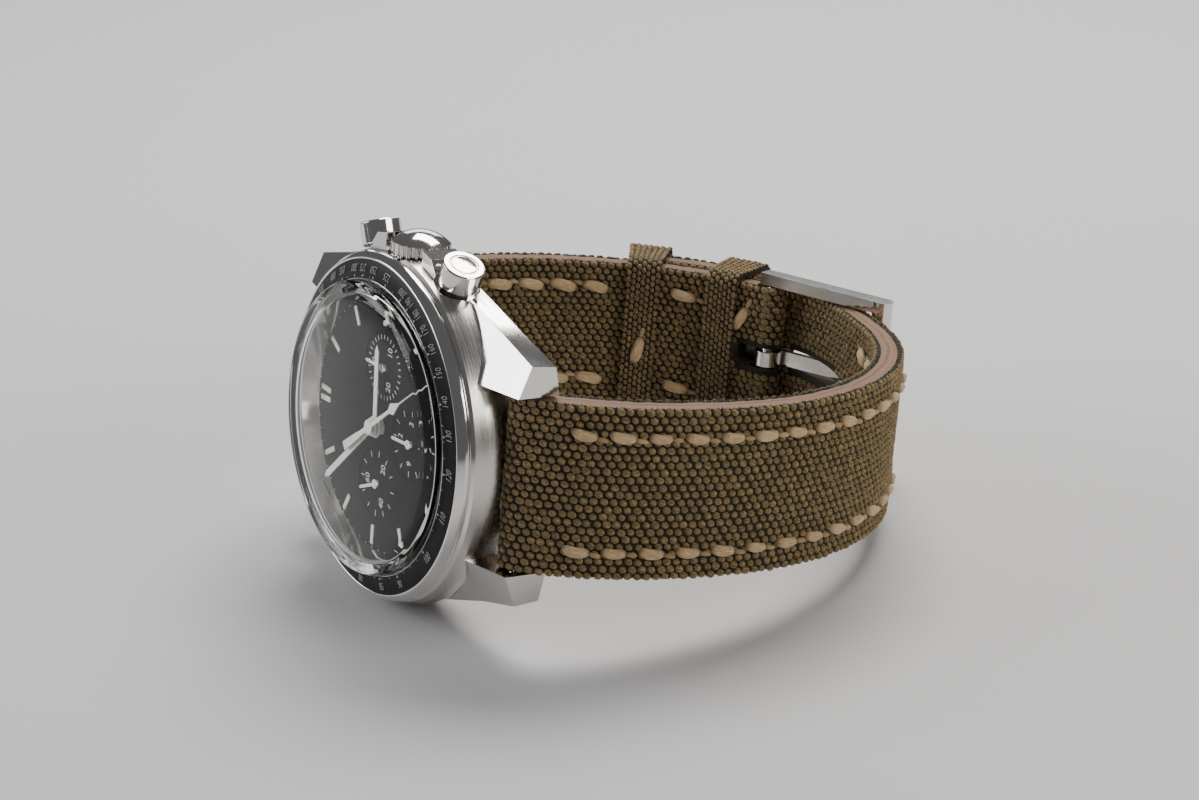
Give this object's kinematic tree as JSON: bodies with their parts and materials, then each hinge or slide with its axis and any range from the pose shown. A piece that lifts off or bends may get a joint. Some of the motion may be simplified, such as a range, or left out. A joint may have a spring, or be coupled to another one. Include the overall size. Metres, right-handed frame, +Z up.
{
  "type": "chronograph wristwatch",
  "caption": "Steel chronograph wristwatch with domed crystal, crown, two pushers and a stitched canvas strap, buckled and lying on its side.",
  "frame": {"origin": "on the floor, under the middle of the watch's box as it lies", "axes": "+X from the dial to the buckle, +Y towards 12 o'clock, +Z up, out through the crown's side"},
  "size_m": [0.075, 0.0686, 0.0436],
  "materials": {
    "brushed_steel": "satin brushed stainless steel",
    "polished_steel": "mirror polished stainless steel",
    "tube_steel": "turned steel",
    "black_anodised": "black anodised aluminium with pale numerals",
    "acrylic": "clear domed acrylic",
    "dial_black": "matt black lacquer with pale markings",
    "hand_white": "white lacquer with pale green lume",
    "gilt_brass": "gilt brass",
    "seal_rubber": "moulded seal",
    "canvas": "coarse olive brown woven canvas",
    "leather_core": "burnished tan leather edge",
    "waxed_thread": "thick waxed cream thread"
  },
  "bodies": {
    "case": {"mid_case": "brushed_steel", "bezel": "polished_steel", "bezel_insert": "black_anodised", "crystal": "acrylic", "crystal_tension_ring": "polished_steel", "case_back": "brushed_steel", "case_back_gasket": "seal_rubber", "crown_tube": "tube_steel", "pusher_tube_upper": "tube_steel", "pusher_spring_upper": "tube_steel", "pusher_tube_lower": "tube_steel", "pusher_spring_lower": "tube_steel", "dial": "dial_black", "main_plate": "gilt_brass", "barrel_bridge": "gilt_brass", "train_bridge": "gilt_brass", "balance_cock": "gilt_brass", "chronograph_bridge": "gilt_brass", "bridge_screws": "tube_steel", "movement_ring": "tube_steel", "casing_screws": "tube_steel", "lug_bar_6": "tube_steel", "lug_bar_12": "tube_steel", "long_strap_canvas": "canvas", "long_strap_core": "leather_core", "long_strap_lining": "canvas", "short_strap_canvas": "canvas", "short_strap_core": "leather_core", "short_strap_lining": "canvas", "long_strap_stitching": "waxed_thread", "short_strap_stitching": "waxed_thread", "fixed_keeper": "canvas", "buckle_bar": "tube_steel"},
    "crown_slider": {"crown_gasket": "seal_rubber"},
    "crown": {"crown": "polished_steel", "winding_stem": "tube_steel"},
    "pusher_upper": {"pusher_cap_upper": "polished_steel"},
    "pusher_lower": {"pusher_cap_lower": "polished_steel"},
    "hour_hand": {"hour_hand": "hand_white"},
    "minute_hand": {"minute_hand": "hand_white"},
    "chronograph_seconds": {"chronograph_hand": "hand_white", "chronograph_wheel": "gilt_brass"},
    "minute_counter": {"minute_counter_hand": "hand_white"},
    "hour_counter": {"hour_counter_hand": "hand_white"},
    "mainspring_barrel": {"mainspring_barrel": "gilt_brass"},
    "center_wheel": {"center_wheel": "gilt_brass"},
    "third_wheel": {"third_wheel": "gilt_brass"},
    "fourth_wheel": {"fourth_wheel": "gilt_brass", "running_seconds_hand": "hand_white"},
    "escape_wheel": {"escape_wheel": "tube_steel"},
    "pallet_fork": {"pallet_fork": "tube_steel"},
    "balance": {"balance_wheel": "gilt_brass", "hairspring": "tube_steel"},
    "loose_keeper": {"loose_keeper": "canvas"},
    "buckle": {"buckle_frame": "polished_steel"},
    "tang": {"buckle_tang": "polished_steel"}
  },
  "joints": [
    {"name": "crown_pull", "type": "slide", "parent": "case", "child": "crown_slider", "axis": [0.1547, 0, 0.988], "range_m": [0, 0.0015]},
    {"name": "crown_turn", "type": "hinge", "parent": "crown_slider", "child": "crown", "pos_m": [-0.02461, 0.00021, 0.04058], "axis": [0.1547, 0, 0.988], "continuous": true},
    {"name": "pusher_upper_press", "type": "slide", "parent": "case", "child": "pusher_upper", "axis": [-0.1408, -0.4147, -0.899], "range_m": [0, 0.0008], "stiffness_N_per_m": 1200, "springref_m": -0.001, "deforming": ["pusher_spring_upper"]},
    {"name": "pusher_lower_press", "type": "slide", "parent": "case", "child": "pusher_lower", "axis": [-0.1408, 0.4147, -0.899], "range_m": [0, 0.0008], "stiffness_N_per_m": 1200, "springref_m": -0.001, "deforming": ["pusher_spring_lower"]},
    {"name": "minute_hand_turn", "type": "hinge", "parent": "case", "child": "minute_hand", "pos_m": [-0.03185, 0.00021, 0.02147], "axis": [0.988, 0, -0.1547], "continuous": true},
    {"name": "hour_hand_turn", "type": "hinge", "parent": "case", "child": "hour_hand", "pos_m": [-0.03185, 0.00021, 0.02147], "axis": [0.988, 0, -0.1547], "continuous": true},
    {"name": "chronograph_seconds_turn", "type": "hinge", "parent": "case", "child": "chronograph_seconds", "pos_m": [-0.03185, 0.00021, 0.02147], "axis": [0.988, 0, -0.1547], "continuous": true},
    {"name": "minute_counter_turn", "type": "hinge", "parent": "case", "child": "minute_counter", "pos_m": [-0.03077, 0.00021, 0.02838], "axis": [0.988, 0, -0.1547], "continuous": true},
    {"name": "hour_counter_turn", "type": "hinge", "parent": "case", "child": "hour_counter", "pos_m": [-0.03185, -0.00679, 0.02147], "axis": [0.988, 0, -0.1547], "continuous": true},
    {"name": "mainspring_barrel_turn", "type": "hinge", "parent": "case", "child": "mainspring_barrel", "pos_m": [-0.02857, 0.00611, 0.02305], "axis": [0.988, 0, -0.1547], "continuous": true},
    {"name": "center_wheel_turn", "type": "hinge", "parent": "case", "child": "center_wheel", "pos_m": [-0.02889, 0.00021, 0.021], "axis": [0.988, 0, -0.1547], "continuous": true},
    {"name": "third_wheel_turn", "type": "hinge", "parent": "case", "child": "third_wheel", "pos_m": [-0.02951, -0.00209, 0.01701], "axis": [0.988, 0, -0.1547], "continuous": true},
    {"name": "fourth_wheel_turn", "type": "hinge", "parent": "case", "child": "fourth_wheel", "pos_m": [-0.02997, 0.00021, 0.01409], "axis": [0.988, 0, -0.1547], "continuous": true},
    {"name": "escape_wheel_turn", "type": "hinge", "parent": "case", "child": "escape_wheel", "pos_m": [-0.03016, -0.00281, 0.0129], "axis": [0.988, 0, -0.1547], "continuous": true},
    {"name": "pallet_fork_rock", "type": "hinge", "parent": "case", "child": "pallet_fork", "pos_m": [-0.0275, -0.00509, 0.0137], "axis": [0.988, 0, -0.1547], "range_deg": [-5, 5]},
    {"name": "balance_swing", "type": "hinge", "parent": "case", "child": "balance", "pos_m": [-0.02753, -0.00779, 0.01674], "axis": [0.988, 0, -0.1547], "range_deg": [-270, 270], "stiffness_Nm_per_rad": 0.00000045},
    {"name": "loose_keeper_slide", "type": "hinge", "parent": "case", "child": "loose_keeper", "pos_m": [-0.00024, 0.00021, 0.01652], "axis": [0.1547, 0, 0.988], "range_deg": [-3, 4]},
    {"name": "buckle_swing", "type": "hinge", "parent": "case", "child": "buckle", "pos_m": [0.0287, 0.00973, 0.01198], "axis": [0.1547, 0, 0.988], "range_deg": [0, 8]},
    {"name": "tang_swing", "type": "hinge", "parent": "buckle", "child": "tang", "pos_m": [0.0287, 0.00973, 0.01198], "axis": [0.1547, 0, 0.988], "range_deg": [0, 6]}
  ],
  "couplings": [
    {"joint": "hour_hand_turn", "follows": "minute_hand_turn", "ratio": 0.083333},
    {"joint": "minute_counter_turn", "follows": "chronograph_seconds_turn", "ratio": 0.033333},
    {"joint": "hour_counter_turn", "follows": "chronograph_seconds_turn", "ratio": 0.0013889},
    {"joint": "escape_wheel_turn", "follows": "fourth_wheel_turn", "ratio": -10},
    {"joint": "third_wheel_turn", "follows": "fourth_wheel_turn", "ratio": -0.125},
    {"joint": "center_wheel_turn", "follows": "fourth_wheel_turn", "ratio": 0.016667},
    {"joint": "mainspring_barrel_turn", "follows": "fourth_wheel_turn", "ratio": -0.0020833}
  ]
}
